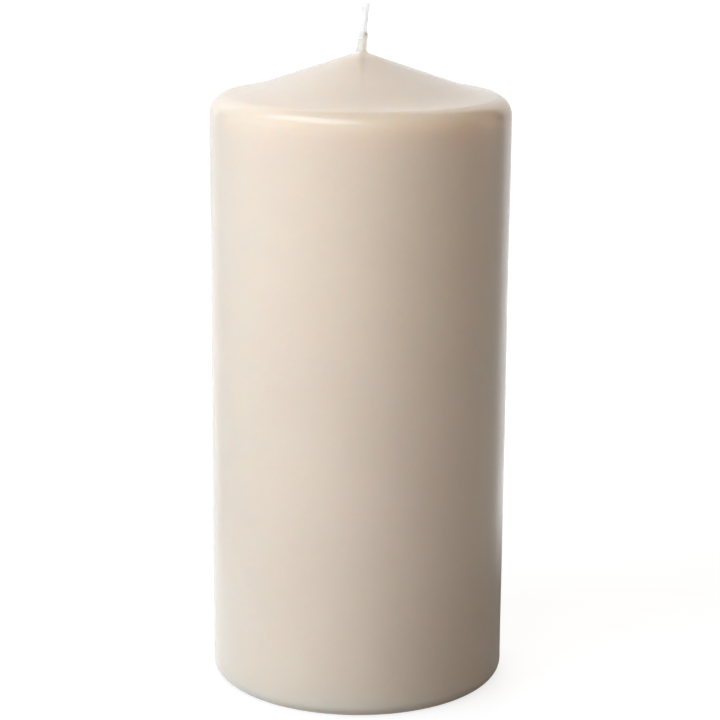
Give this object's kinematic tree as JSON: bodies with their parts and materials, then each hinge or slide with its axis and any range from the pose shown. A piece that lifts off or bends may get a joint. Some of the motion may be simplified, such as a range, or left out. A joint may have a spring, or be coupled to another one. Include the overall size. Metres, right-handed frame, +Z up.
{
  "type": "table candle",
  "caption": "Wide upright wax candle with a rounded shoulder, a shallow conical top and a short leaning cotton wick.",
  "frame": {"origin": "centre of the base, on the surface that the candle stands on", "axes": "+Z up along the candle's axis, +X the way the wick leans, -Y the front in the picture"},
  "size_m": [0.07, 0.07, 0.1611],
  "materials": {
    "wax": "satin, slightly waxy beige",
    "wick": "waxed white cotton"
  },
  "bodies": {
    "root": {"wax_body": "wax", "wick": "wick"}
  },
  "joints": []
}
